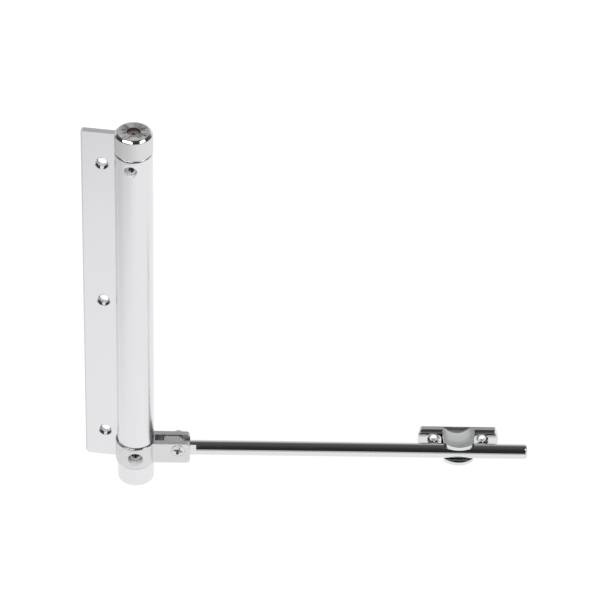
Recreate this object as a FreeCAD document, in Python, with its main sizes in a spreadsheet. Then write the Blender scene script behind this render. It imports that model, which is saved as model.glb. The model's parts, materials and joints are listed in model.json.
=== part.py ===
"""Spring door closer: a torsion spring in a tube turns a lever, and the lever's rod pushes the door."""

import FreeCAD
import Part
import Sketcher
import math
import os
import re

# Driving sizes in millimetres and degrees. Heights count from the middle screw hole of the housing.
SIZES = {
    # housing: tube and screw flange
    "tube_od": 20.0,
    "tube_wall": 2.0,
    "tube_above": 104.5,
    "tube_below": 85.2,
    "tube_round": 1.5,
    "mount_depth": 11.5,
    "hole_to_axis": 18.5,
    "hole_to_edge": 11.2,
    "hole_pitch": 89.0,
    "margin_above": 19.2,
    "margin_below": 17.2,
    "plate_thick": 3.6,
    "corner_round": 3.0,
    "edge_round": 1.5,
    "screw_hole": 5.0,
    "screw_sink": 7.8,
    "web_reach": 6.0,
    # fits
    "seat_gap": 0.03,
    "run_gap": 0.05,
    "end_gap": 0.2,
    "safe_gap": 0.8,
    # tension adjuster
    "cap_high": 11.9,
    "cap_bevel": 1.4,
    "dish_width": 16.4,
    "dish_deep": 0.75,
    "recess_width": 9.0,
    "recess_deep": 2.6,
    "stem_dia": 8.0,
    "stem_head": 5.8,
    "stem_dimple": 2.0,
    "upper_bush_long": 22.6,
    "flange_dia": 14.4,
    "flange_thick": 6.0,
    "lock_drop": 6.9,
    "lock_window": 6.8,
    # set screws
    "lock_dia": 6.0,
    "lock_socket": 3.0,
    "lock_long": 3.4,
    "grub_dia": 8.0,
    "grub_socket": 4.0,
    "grub_long": 2.8,
    "grub_seat": 1.0,
    "grub_bevel": 0.5,
    # torsion spring
    "wire_dia": 2.4,
    "coil_radius": 5.6,
    "coil_count": 20.0,
    "leg_long": 4.5,
    # lever
    "collar_od": 22.0,
    "collar_high": 14.4,
    "collar_bevel": 0.8,
    "spigot_dia": 16.0,
    "spigot_long": 3.0,
    "shaft_dia": 10.0,
    "mandrel_dia": 6.8,
    "mandrel_long": 110.0,
    "lower_bush_long": 18.2,
    "washer_od": 15.0,
    "washer_thick": 1.0,
    "clip_thick": 1.0,
    "clip_width": 2.0,
    "clip_seat": 0.5,
    "clip_opening": 3.4,
    "base_cap_high": 12.4,
    "base_cap_round": 1.6,
    "base_cap_floor": 2.5,
    "ear_reach": 29.7,
    "ear_high": 13.0,
    "ear_thick": 3.2,
    "ear_round": 2.2,
    "fork_gap": 5.0,
    "fork_root": 10.4,
    "fork_through": 13.8,
    "pocket_deep": 9.0,
    "arm_lift": 0.6,
    "pivot_at": 23.2,
    "pivot_rise": 1.9,
    # pivot screw, nut and washer
    "pivot_dia": 3.5,
    "pivot_head_dia": 7.7,
    "pivot_head_rise": 0.3,
    "cross_width": 1.1,
    "cross_span": 4.6,
    "cross_deep": 1.5,
    "nut_width": 6.0,
    "nut_thick": 2.4,
    "pivot_washer_od": 8.0,
    "pivot_washer_thick": 0.5,
    # push rod
    "rod_dia": 8.2,
    "rod_reach": 214.6,
    "rod_flat_to": 33.0,
    "tongue_thick": 4.6,
    "tongue_tail": 8.4,
    "tail_round": 1.6,
    "rod_end_round": 0.7,
    "arm_rest": 8.5,
    # guide
    "guide_from_end": 37.6,
    "guide_long": 44.4,
    "guide_bulge": 2.0,
    "guide_high": 12.6,
    "guide_thick": 3.9,
    "guide_behind": 9.3,
    "guide_bevel": 0.7,
    "guide_pitch": 26.8,
    "guide_hole": 4.4,
    "guide_sink": 7.2,
    "slot_high": 8.6,
    "lug_root": 18.0,
    "lug_front": 15.6,
    "lug_reach": 5.2,
    "lug_round": 10.0,
    "roller_dia": 6.0,
    "roller_high": 7.8,
    "roller_clear": 0.3,
    "pin_dia": 2.5,
    "pin_seat": 0.5,
    "pin_short": 0.1,
}

# Sizes that follow from the driving ones.
DERIVED = {
    "tube_radius": "tube_od / 2",
    "bore_radius": "tube_od / 2 - tube_wall",
    "plate_right": "hole_to_axis - collar_od / 2 - safe_gap",
    "plate_top": "hole_pitch + margin_above",
    "plate_bottom": "hole_pitch + margin_below",
    "sink_deep": "(screw_sink - screw_hole) / 2",
    "stem_radius": "stem_dia / 2",
    "cap_low": "tube_above + end_gap",
    "cap_top": "cap_low + cap_high",
    "upper_flange_top": "tube_above - upper_bush_long - end_gap",
    "upper_flange_low": "upper_flange_top - flange_thick",
    "lower_flange_low": "lower_bush_long - tube_below + end_gap",
    "lower_flange_top": "lower_flange_low + flange_thick",
    "coil_low": "lower_flange_top + wire_dia",
    "coil_top": "upper_flange_low - wire_dia",
    "coil_pitch": "(coil_top - coil_low) / coil_count",
    "collar_top": "0 - tube_below - end_gap",
    "collar_low": "collar_top - collar_high",
    "spigot_low": "collar_low - spigot_long",
    "shaft_low": "spigot_low - end_gap - 2.5 * clip_thick",
    "base_cap_low": "collar_low - end_gap - base_cap_high",
    "collar_middle": "collar_top - collar_high / 2",
    "arm_height": "collar_middle + arm_lift",
    "fork_width": "fork_gap + 2 * ear_thick",
    "pivot_head_cone": "(pivot_head_dia - pivot_dia) / 2",
    "rod_radius": "rod_dia / 2",
    "guide_at": "rod_reach - guide_from_end",
    "guide_end_round": "(guide_high * guide_high / 4 + guide_bulge * guide_bulge) / (2 * guide_bulge)",
    "guide_sink_deep": "(guide_sink - guide_hole) / 2",
    "lug_thick": "(guide_high - slot_high) / 2",
    "roller_behind": "rod_radius + roller_clear + roller_dia / 2",
}

ALIASES = set(SIZES) | set(DERIVED)
TRIAL_CELL = "Z1"

TURNS = {
    "up": FreeCAD.Rotation(),
    "right": FreeCAD.Rotation(FreeCAD.Vector(0, 1, 0), 90),
    "back": FreeCAD.Rotation(FreeCAD.Vector(1, 0, 0), -90),
    "front": FreeCAD.Rotation(FreeCAD.Vector(1, 0, 0), 90),
}

doc = FreeCAD.newDocument("spring_door_closer")
sheet = doc.addObject("Spreadsheet::Sheet", "Sheet")
nodes = {}


def fill_sheet():
    """Write every driving and derived size into the sheet under its own name."""
    rows = [(name, str(size)) for name, size in SIZES.items()]
    rows += [(name, "=" + rule) for name, rule in DERIVED.items()]
    for row, (name, text) in enumerate(rows, 1):
        sheet.set("A%d" % row, name)
        sheet.set("B%d" % row, text)
        sheet.setAlias("B%d" % row, name)
    doc.recompute()


def driven(rule):
    """The rule with each size named in it pointing at the sheet."""
    return re.sub(
        r"[a-z][a-z_0-9]*",
        lambda word: "Sheet." + word.group(0) if word.group(0) in ALIASES else word.group(0),
        rule,
    )


def bind(item, prop, rule):
    item.setExpression(prop, driven(rule))


def number(rule):
    """The present value of a rule."""
    sheet.set(TRIAL_CELL, "=" + rule)
    sheet.recompute()
    return float(sheet.get(TRIAL_CELL))


def move(item, x="0", y="0", z="0"):
    for axis, rule in zip("xyz", (x, y, z)):
        bind(item, "Placement.Base." + axis, rule)


def node(item, label):
    """Name a finished piece; its label is also its file name."""
    item.Label = label
    nodes[label] = item
    return item


def on_housing(item, label, height="0"):
    """A finished piece whose own Z axis is the tube's axis."""
    move(item, "hole_to_axis", "0 - mount_depth", height)
    return node(item, label)


def on_arm(item, label, height="arm_height"):
    """A finished piece drawn with the arm along its own X axis, swung to the arm's rest angle."""
    item.Placement = FreeCAD.Placement(FreeCAD.Vector(), FreeCAD.Rotation(FreeCAD.Vector(0, 0, 1), 1))
    move(item, "hole_to_axis", "0 - mount_depth", height)
    bind(item, "Placement.Rotation.Angle", "arm_rest")
    return node(item, label)


def cylinder(name, radius, length, x="0", y="0", z="0", toward="up"):
    item = doc.addObject("Part::Cylinder", name)
    bind(item, "Radius", radius)
    bind(item, "Height", length)
    item.Placement.Rotation = TURNS[toward]
    move(item, x, y, z)
    return item


def cone(name, start, finish, length, x="0", y="0", z="0", toward="up"):
    item = doc.addObject("Part::Cone", name)
    bind(item, "Radius1", start)
    bind(item, "Radius2", finish)
    bind(item, "Height", length)
    item.Placement.Rotation = TURNS[toward]
    move(item, x, y, z)
    return item


def box(name, length, width, height, x="0", y="0", z="0"):
    item = doc.addObject("Part::Box", name)
    bind(item, "Length", length)
    bind(item, "Width", width)
    bind(item, "Height", height)
    move(item, x, y, z)
    return item


def fuse(name, items):
    item = doc.addObject("Part::MultiFuse", name)
    item.Shapes = items
    return item


def common(name, items):
    item = doc.addObject("Part::MultiCommon", name)
    item.Shapes = items
    return item


def cut(name, base, tools):
    item = doc.addObject("Part::Cut", name)
    item.Base = base
    item.Tool = tools[0] if len(tools) == 1 else fuse(name + "_tools", tools)
    return item


def origin_plane(body, role):
    return next(feature for feature in body.Origin.OriginFeatures if feature.Role == role)


def outline(body, name, role, corners, offset="0"):
    """A closed outline through the corners, each held by two driven distances."""
    sketch = body.newObject("Sketcher::SketchObject", name)
    sketch.AttachmentSupport = (origin_plane(body, role), [""])
    sketch.MapMode = "FlatFace"
    bind(sketch, "AttachmentOffset.Base.z", offset)
    spots = [(number(x), number(y)) for x, y in corners]
    count = len(corners)
    for i in range(count):
        here = FreeCAD.Vector(*spots[i], 0)
        there = FreeCAD.Vector(*spots[(i + 1) % count], 0)
        sketch.addGeometry(Part.LineSegment(here, there), False)
    for i in range(count):
        sketch.addConstraint(Sketcher.Constraint("Coincident", i, 2, (i + 1) % count, 1))
    for i in range(count):
        for kind, axis, rule, spot in zip(("DistanceX", "DistanceY"), (-2, -1), corners[i], spots[i]):
            if rule == "0":
                sketch.addConstraint(Sketcher.Constraint("PointOnObject", i, 1, axis))
                continue
            held = sketch.addConstraint(Sketcher.Constraint(kind, -1, 1, i, 1, spot))
            bind(sketch, "Constraints[%d]" % held, rule)
    return sketch


def turned(name, corners):
    """A lathe-turned piece from its half outline, given as radius and height."""
    body = doc.addObject("PartDesign::Body", name)
    sketch = outline(body, name + "_outline", "XZ_Plane", corners)
    feature = body.newObject("PartDesign::Revolution", name + "_turned")
    feature.Profile = sketch
    feature.ReferenceAxis = (sketch, ["V_Axis"])
    feature.Angle = 360.0
    return body


def padded(name, role, corners, length, offset="0"):
    """A straight piece from its outline."""
    body = doc.addObject("PartDesign::Body", name)
    sketch = outline(body, name + "_outline", role, corners, offset)
    feature = body.newObject("PartDesign::Pad", name + "_pad")
    feature.Profile = sketch
    bind(feature, "Length", length)
    return body


def edges_of(feature, chosen):
    found = ["Edge%d" % i for i, edge in enumerate(feature.Shape.Edges, 1) if chosen(edge)]
    if not found:
        raise RuntimeError("no edge to dress on " + feature.Name)
    return found


def dress(body, kind, size, chosen):
    """Round or bevel the chosen edges of a body."""
    doc.recompute()
    base = body.Tip
    feature = body.newObject("PartDesign::" + kind, body.Name + "_" + kind.lower())
    feature.Base = (base, edges_of(base, chosen))
    bind(feature, "Radius" if kind == "Fillet" else "Size", size)
    body.Tip = feature
    return body


def body_from(name, source):
    """A body that goes on from another piece."""
    body = doc.addObject("PartDesign::Body", name)
    body.BaseFeature = source
    doc.recompute()
    return body


def straight(edge, direction):
    if edge.Curve.TypeId != "Part::GeomLine":
        return False
    return edge.tangentAt(edge.FirstParameter).cross(direction).Length < 1e-6


def near(here, there):
    return abs(here - there) < 1e-4


def ring_at(edge, radius, height):
    """Is this edge a full circle of the radius at the height?"""
    if edge.Curve.TypeId != "Part::GeomCircle":
        return False
    return near(edge.Curve.Radius, radius) and near(edge.Curve.Center.z, height)


def tube(name, outer, inner, length):
    """A plain ring from height 0 upward."""
    corners = [(inner, "0"), (outer, "0"), (outer, length), (inner, length)]
    return turned(name, corners)


def screw_cutters(name, across, sink, deep, x, y, z, length):
    """A countersunk screw hole that enters from the front at the given point."""
    hole = cylinder(name + "_hole", across + " / 2", length, x, y, z, "back")
    head = cone(name + "_sink", sink + " / 2", across + " / 2", deep, x, y, z, "back")
    return [hole, head]


def make_housing():
    left = "0 - hole_to_edge"
    low = "0 - plate_bottom"
    front = "0 - plate_thick"
    strip = padded(
        "plate_strip",
        "XY_Plane",
        [(left, front), ("plate_right", front), ("plate_right", "0"), (left, "0")],
        "plate_top + plate_bottom",
        low,
    )
    edge_x, edge_y = -number("hole_to_edge"), -number("plate_thick")
    upright = FreeCAD.Vector(0, 0, 1)
    dress(
        strip,
        "Fillet",
        "edge_round",
        lambda e: straight(e, upright)
        and near(e.Vertexes[0].X, edge_x)
        and near(e.Vertexes[0].Y, edge_y),
    )
    sheet_cut = padded(
        "plate_outline",
        "XZ_Plane",
        [(left, low), ("plate_right", low), ("plate_right", "plate_top"), (left, "plate_top")],
        "plate_thick",
    )
    across = FreeCAD.Vector(0, 1, 0)
    dress(
        sheet_cut,
        "Fillet",
        "corner_round",
        lambda e: straight(e, across) and near(e.Vertexes[0].X, edge_x),
    )
    plate = common("plate", [strip, sheet_cut])
    tube_long = "tube_above + tube_below"
    barrel = turned(
        "barrel",
        [
            ("0", "0"),
            ("tube_radius", "0"),
            ("tube_radius", tube_long),
            ("0", tube_long),
        ],
    )
    radius, mouth = number("tube_radius"), number("tube_above") + number("tube_below")
    dress(barrel, "Fillet", "tube_round", lambda e: ring_at(e, radius, mouth))
    move(barrel, "hole_to_axis", "0 - mount_depth", "0 - tube_below")
    web = padded(
        "web",
        "XY_Plane",
        [
            ("plate_right - safe_gap", "0"),
            ("plate_right - safe_gap", front),
            ("hole_to_axis - web_reach", front),
            ("hole_to_axis - web_reach", "0 - mount_depth"),
            ("hole_to_axis + web_reach", "0 - mount_depth"),
            ("hole_to_axis + web_reach", "0"),
        ],
        tube_long,
        "0 - tube_below",
    )
    profile = fuse("profile", [plate, barrel, web])
    cutters = [
        cylinder(
            "bore", "bore_radius", tube_long, "hole_to_axis", "0 - mount_depth", "0 - tube_below"
        ),
        cylinder(
            "lock_window_cut",
            "lock_window / 2",
            "tube_radius",
            "hole_to_axis",
            "0 - mount_depth",
            "tube_above - lock_drop",
            "front",
        ),
    ]
    for name, height in (("top", "hole_pitch"), ("middle", "0"), ("bottom", "0 - hole_pitch")):
        cutters += screw_cutters(
            name, "screw_hole", "screw_sink", "sink_deep", "0", front, height, "plate_thick"
        )
    node(cut("housing", profile, cutters), "housing")


def make_bushes():
    ring = tube("upper_ring", "bore_radius - seat_gap", "stem_radius + run_gap", "upper_bush_long")
    thread = cylinder(
        "lock_thread",
        "lock_dia / 2 + seat_gap",
        "tube_radius",
        "0",
        "0",
        "upper_bush_long - lock_drop",
        "front",
    )
    on_housing(cut("upper_bush", ring, [thread]), "upper_bush", "tube_above - upper_bush_long")
    lower = tube(
        "lower_bush", "bore_radius - seat_gap", "shaft_dia / 2 + run_gap", "lower_bush_long"
    )
    on_housing(lower, "lower_bush", "0 - tube_below")


def set_screw(name, across, length, socket):
    """A socket set screw along its own Z axis, the socket at the top."""
    slim = across + " / 2 - grub_bevel"
    shank = turned(
        name + "_shank",
        [
            ("0", "0"),
            (slim, "0"),
            (across + " / 2", "grub_bevel"),
            (across + " / 2", length + " - grub_bevel"),
            (slim, length),
            ("0", length),
        ],
    )
    deep = socket + " * 0.55"
    hexagon = doc.addObject("Part::Prism", name + "_socket")
    hexagon.Polygon = 6
    bind(hexagon, "Circumradius", socket + " / (2 * cos(30))")
    bind(hexagon, "Height", deep)
    move(hexagon, "0", "0", length + " - " + deep)
    return cut(name + "_screw", shank, [hexagon])


def facing_with_arm():
    """The turn that lays an upright piece square to the arm, toward the front."""
    return FreeCAD.Rotation(FreeCAD.Vector(0, 0, 1), number("arm_rest")).multiply(TURNS["front"])


def make_set_screws():
    lock = set_screw("lock", "lock_dia", "lock_long", "lock_socket")
    lock.Placement.Rotation = TURNS["front"]
    move(
        lock,
        "hole_to_axis",
        "0 - mount_depth - (stem_radius + 2 * run_gap)",
        "tube_above - lock_drop",
    )
    node(lock, "tension_lock_screw")
    grub = set_screw("grub", "grub_dia", "grub_long", "grub_socket")
    grub.Placement.Rotation = facing_with_arm()
    inner = "(shaft_dia / 2 - grub_seat + run_gap)"
    move(
        grub,
        "hole_to_axis + " + inner + " * sin(arm_rest)",
        "0 - mount_depth - " + inner + " * cos(arm_rest)",
        "collar_middle",
    )
    node(grub, "collar_set_screw")


def make_spring():
    """Coils between the two flanges, with a straight leg into each flange."""
    body = doc.addObject("PartDesign::Body", "torsion_spring")
    sketch = body.newObject("Sketcher::SketchObject", "wire")
    sketch.AttachmentSupport = (origin_plane(body, "XZ_Plane"), [""])
    sketch.MapMode = "FlatFace"
    spot = FreeCAD.Vector(number("coil_radius"), 0, 0)
    sketch.addGeometry(Part.Circle(spot, FreeCAD.Vector(0, 0, 1), number("wire_dia / 2")), False)
    sketch.addConstraint(Sketcher.Constraint("PointOnObject", 0, 3, -1))
    held = sketch.addConstraint(Sketcher.Constraint("DistanceX", -1, 1, 0, 3, spot.x))
    bind(sketch, "Constraints[%d]" % held, "coil_radius")
    held = sketch.addConstraint(Sketcher.Constraint("Radius", 0, number("wire_dia / 2")))
    bind(sketch, "Constraints[%d]" % held, "wire_dia / 2")
    coil = body.newObject("PartDesign::AdditiveHelix", "coil")
    coil.Profile = sketch
    coil.ReferenceAxis = (sketch, ["V_Axis"])
    coil.Mode = 0
    bind(coil, "Pitch", "coil_pitch")
    bind(coil, "Height", "coil_top - coil_low")
    doc.recompute()
    legs = [
        cylinder("low_leg", "wire_dia / 2", "leg_long", "coil_radius", "0", "0 - leg_long"),
        cylinder("top_leg", "wire_dia / 2", "leg_long", "coil_radius", "0", "coil_top - coil_low"),
    ]
    on_housing(fuse("spring", [body] + legs), "torsion_spring", "coil_low")


def leg_hole(name, low, length):
    return cylinder(name, "wire_dia / 2 + run_gap", length, "coil_radius", "0", low)


def make_adjuster():
    rim = "tube_radius - cap_bevel"
    floor = "cap_high - recess_deep"
    cap = turned(
        "tension_cap",
        [
            ("stem_radius + seat_gap", "0"),
            ("tube_radius", "0"),
            ("tube_radius", "cap_high - cap_bevel"),
            (rim, "cap_high"),
            ("dish_width / 2", "cap_high"),
            ("recess_width / 2", "cap_high - dish_deep"),
            ("recess_width / 2", floor),
            ("stem_radius + seat_gap", floor),
        ],
    )
    on_housing(cap, "tension_cap", "cap_low")
    base = "upper_flange_low"
    head_low = "cap_low + cap_high - recess_deep - " + base
    head_top = head_low + " + 0.4 * recess_deep"
    shank = turned(
        "adjuster",
        [
            ("0", "0"),
            ("flange_dia / 2", "0"),
            ("flange_dia / 2", "flange_thick"),
            ("stem_radius", "flange_thick"),
            ("stem_radius", head_low),
            ("stem_head / 2", head_top),
            ("stem_dimple / 2", head_top),
            ("0", head_top + " - stem_dimple / 2"),
        ],
    )
    spindle = cut("adjuster_spindle", shank, [leg_hole("upper_leg_hole", "0", "leg_long - wire_dia + end_gap")])
    on_housing(spindle, "adjuster_spindle", base)


def make_lever():
    shaft = "shaft_dia / 2"
    groove_top = "spigot_low - end_gap - shaft_low"
    groove_low = groove_top + " - clip_thick - 2 * run_gap"
    body_low = "lower_flange_low - shaft_low"
    mandrel_top = "lower_flange_top - shaft_low + mandrel_long"
    turned_shaft = turned(
        "lever_shaft",
        [
            ("0", "0"),
            (shaft, "0"),
            (shaft, groove_low),
            (shaft + " - clip_seat", groove_low),
            (shaft + " - clip_seat", groove_top),
            (shaft, groove_top),
            (shaft, body_low),
            ("flange_dia / 2", body_low),
            ("flange_dia / 2", body_low + " + flange_thick"),
            ("mandrel_dia / 2", body_low + " + flange_thick"),
            ("mandrel_dia / 2", mandrel_top),
            ("0", mandrel_top),
        ],
    )
    hole_long = "leg_long - wire_dia + end_gap"
    hole = leg_hole("lower_leg_hole", "lower_flange_top - shaft_low - (" + hole_long + ")", hole_long)
    inner = "(shaft_dia / 2 - grub_seat)"
    spot = cylinder(
        "grub_spot",
        "grub_dia / 2 + 2 * run_gap",
        "shaft_dia",
        inner + " * sin(arm_rest)",
        "0 - " + inner + " * cos(arm_rest)",
        "collar_middle - shaft_low",
    )
    spot.Placement.Rotation = facing_with_arm()
    on_housing(cut("lever_spindle", turned_shaft, [hole, spot]), "lever_spindle", "shaft_low")

    base = "spigot_low"
    top = "collar_top - spigot_low"
    seat = top + " - washer_thick"
    bevelled = "collar_od / 2 - collar_bevel"
    ring = turned(
        "collar_ring",
        [
            (shaft + " + seat_gap", "0"),
            ("spigot_dia / 2", "0"),
            ("spigot_dia / 2", "spigot_long"),
            (bevelled, "spigot_long"),
            ("collar_od / 2", "spigot_long + collar_bevel"),
            ("collar_od / 2", top + " - collar_bevel"),
            (bevelled, top),
            ("washer_od / 2 + end_gap", top),
            ("washer_od / 2 + end_gap", seat),
            (shaft + " + seat_gap", seat),
        ],
    )
    middle = "arm_height - spigot_low"
    half = "ear_high / 2"
    ears = padded(
        "ears",
        "XZ_Plane",
        [
            ("collar_od / 4", middle + " - " + half),
            ("ear_reach", middle + " - " + half),
            ("ear_reach", middle + " + " + half),
            ("collar_od / 4", middle + " + " + half),
        ],
        "fork_width",
        "0 - fork_width / 2",
    )
    across = FreeCAD.Vector(0, 1, 0)
    reach = number("ear_reach")
    dress(
        ears,
        "Fillet",
        "ear_round",
        lambda e: straight(e, across) and near(e.Vertexes[0].X, reach),
    )
    cutters = [
        box(
            "fork_cut",
            "ear_reach",
            "fork_gap",
            "2 * ear_high",
            "fork_through",
            "0 - fork_gap / 2",
            middle + " - ear_high",
        ),
        box(
            "fork_pocket",
            "ear_reach - fork_root",
            "fork_gap",
            "pocket_deep + ear_high",
            "fork_root",
            "0 - fork_gap / 2",
            middle + " + " + half + " - pocket_deep",
        ),
        cylinder("collar_bore", shaft + " + seat_gap", top, "0", "0", "0"),
        cylinder(
            "washer_seat", "washer_od / 2 + end_gap", "2 * washer_thick", "0", "0", seat
        ),
        cylinder(
            "pivot_bore",
            "pivot_dia / 2 + run_gap",
            "2 * fork_width",
            "pivot_at",
            "0 - fork_width",
            middle + " + pivot_rise",
            "back",
        ),
        cone(
            "pivot_sink",
            "pivot_head_dia / 2 + run_gap",
            "pivot_dia / 2 + run_gap",
            "pivot_head_cone",
            "pivot_at",
            "0 - fork_width / 2",
            middle + " + pivot_rise",
            "back",
        ),
        cylinder(
            "grub_thread",
            "grub_dia / 2 + seat_gap",
            "collar_od",
            "0",
            "0",
            "collar_middle - spigot_low",
            "front",
        ),
    ]
    collar = cut("lever_collar", fuse("collar_and_ears", [ring, ears]), cutters)
    on_arm(collar, "lever_collar", base)

    washer = tube("thrust_washer", "washer_od / 2", shaft + " + run_gap", "washer_thick")
    on_housing(washer, "thrust_washer", "collar_top - washer_thick + end_gap / 2")

    clip_ring = tube(
        "clip_ring",
        shaft + " - clip_seat + clip_width",
        shaft + " - clip_seat + seat_gap",
        "clip_thick",
    )
    mouth = box(
        "clip_mouth", "shaft_dia", "clip_opening", "2 * clip_thick", "0", "0 - clip_opening / 2",
        "0 - clip_thick / 2",
    )
    clip = cut("spindle_circlip", clip_ring, [mouth])
    on_arm(clip, "spindle_circlip", "spigot_low - end_gap - clip_thick - run_gap")

    inside = "spigot_dia / 2 + seat_gap"
    cup = turned(
        "bottom_cap",
        [
            ("0", "0"),
            ("tube_radius", "0"),
            ("tube_radius", "base_cap_high"),
            (inside, "base_cap_high"),
            (inside, "base_cap_floor"),
            ("0", "base_cap_floor"),
        ],
    )
    rim = number("tube_radius")
    dress(cup, "Fillet", "base_cap_round", lambda e: ring_at(e, rim, 0))
    on_arm(cup, "bottom_cap", "base_cap_low")


def make_pivot():
    """Countersunk cross-recess screw sunk in the front ear, its washer and nut behind the back ear."""
    head = "pivot_head_dia / 2"
    tip = "pivot_head_rise + fork_width + pivot_washer_thick + nut_thick + 2 * end_gap"
    blank = turned(
        "pivot_blank",
        [
            ("0", "0"),
            (head + " * 0.5", "pivot_head_rise * 0.25"),
            (head + " * 0.8", "pivot_head_rise * 0.64"),
            (head, "pivot_head_rise"),
            ("pivot_dia / 2", "pivot_head_rise + pivot_head_cone"),
            ("pivot_dia / 2", tip),
            ("0", tip),
        ],
    )
    half_width = "0 - cross_width / 2"
    half_span = "0 - cross_span / 2"
    bars = [
        box("cross_flat", "cross_span", "cross_width", "cross_deep", half_span, half_width),
        box("cross_tall", "cross_width", "cross_span", "cross_deep", half_width, half_span),
    ]
    screw = cut("pivot_screw_blank", blank, bars)
    screw.Placement.Rotation = TURNS["back"]
    move(screw, "pivot_at", "0 - fork_width / 2 - pivot_head_rise", "0")
    height = "arm_height + pivot_rise"
    on_arm(fuse_one("pivot_screw", screw), "pivot_screw", height)

    disc = tube(
        "pivot_disc", "pivot_washer_od / 2", "pivot_dia / 2 + run_gap", "pivot_washer_thick"
    )
    washer = fuse_one("pivot_washer", disc)
    disc.Placement.Rotation = TURNS["back"]
    move(disc, "pivot_at", "fork_width / 2", "0")
    on_arm(washer, "pivot_washer", height)

    prism = doc.addObject("Part::Prism", "nut_blank")
    prism.Polygon = 6
    bind(prism, "Circumradius", "nut_width / (2 * cos(30))")
    bind(prism, "Height", "nut_thick")
    thread = cylinder("nut_thread", "pivot_dia / 2 + seat_gap", "nut_thick")
    nut = cut("nut", prism, [thread])
    nut.Placement.Rotation = TURNS["back"]
    move(nut, "pivot_at", "fork_width / 2 + pivot_washer_thick", "0")
    on_arm(fuse_one("pivot_nut", nut), "pivot_nut", height)


def fuse_one(name, piece):
    """Carry a piece that is already turned, so that it can be swung with the arm."""
    item = doc.addObject("Part::Compound", name)
    item.Links = [piece]
    return item


def make_rod():
    bar = turned(
        "rod_bar",
        [
            ("0", "rod_flat_to"),
            ("rod_radius", "rod_flat_to"),
            ("rod_radius", "rod_reach"),
            ("0", "rod_reach"),
        ],
    )
    radius, reach = number("rod_radius"), number("rod_reach")
    dress(bar, "Fillet", "rod_end_round", lambda e: ring_at(e, radius, reach))
    bar.Placement.Rotation = TURNS["right"]
    move(bar)
    stock = cylinder(
        "tongue_stock",
        "rod_radius",
        "rod_flat_to - pivot_at + rod_radius",
        "pivot_at - rod_radius",
        toward="right",
    )
    thick = ("0 - tongue_thick / 2", "tongue_thick")
    eye = cylinder(
        "tongue_eye", "rod_radius", thick[1], "pivot_at", thick[0], "pivot_rise", "back"
    )
    heel = cylinder("tongue_heel", "rod_radius", thick[1], "pivot_at", thick[0], "0", "back")
    slab = box(
        "tongue_slab",
        "rod_flat_to - pivot_at",
        thick[1],
        "rod_dia",
        "pivot_at",
        thick[0],
        "0 - rod_radius",
    )
    flats = common("tongue_flats", [stock, fuse("tongue_form", [heel, slab])])
    tail = padded(
        "tongue_back",
        "XZ_Plane",
        [
            ("pivot_at - tongue_tail", "pivot_rise - rod_radius"),
            ("pivot_at", "pivot_rise - rod_radius"),
            ("pivot_at", "pivot_rise + rod_radius"),
            ("pivot_at - tongue_tail", "pivot_rise + rod_radius"),
        ],
        "tongue_thick",
        "0 - tongue_thick / 2",
    )
    across = FreeCAD.Vector(0, 1, 0)
    end = number("pivot_at") - number("tongue_tail")
    dress(
        tail,
        "Fillet",
        "tail_round",
        lambda e: straight(e, across) and near(e.Vertexes[0].X, end),
    )
    bore = cylinder(
        "tongue_bore",
        "pivot_dia / 2 + run_gap",
        "2 * rod_dia",
        "pivot_at",
        "0 - rod_dia",
        "pivot_rise",
        "back",
    )
    on_arm(cut("push_rod", fuse("rod_and_tongue", [bar, flats, eye, tail]), [bore]), "push_rod")


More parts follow.
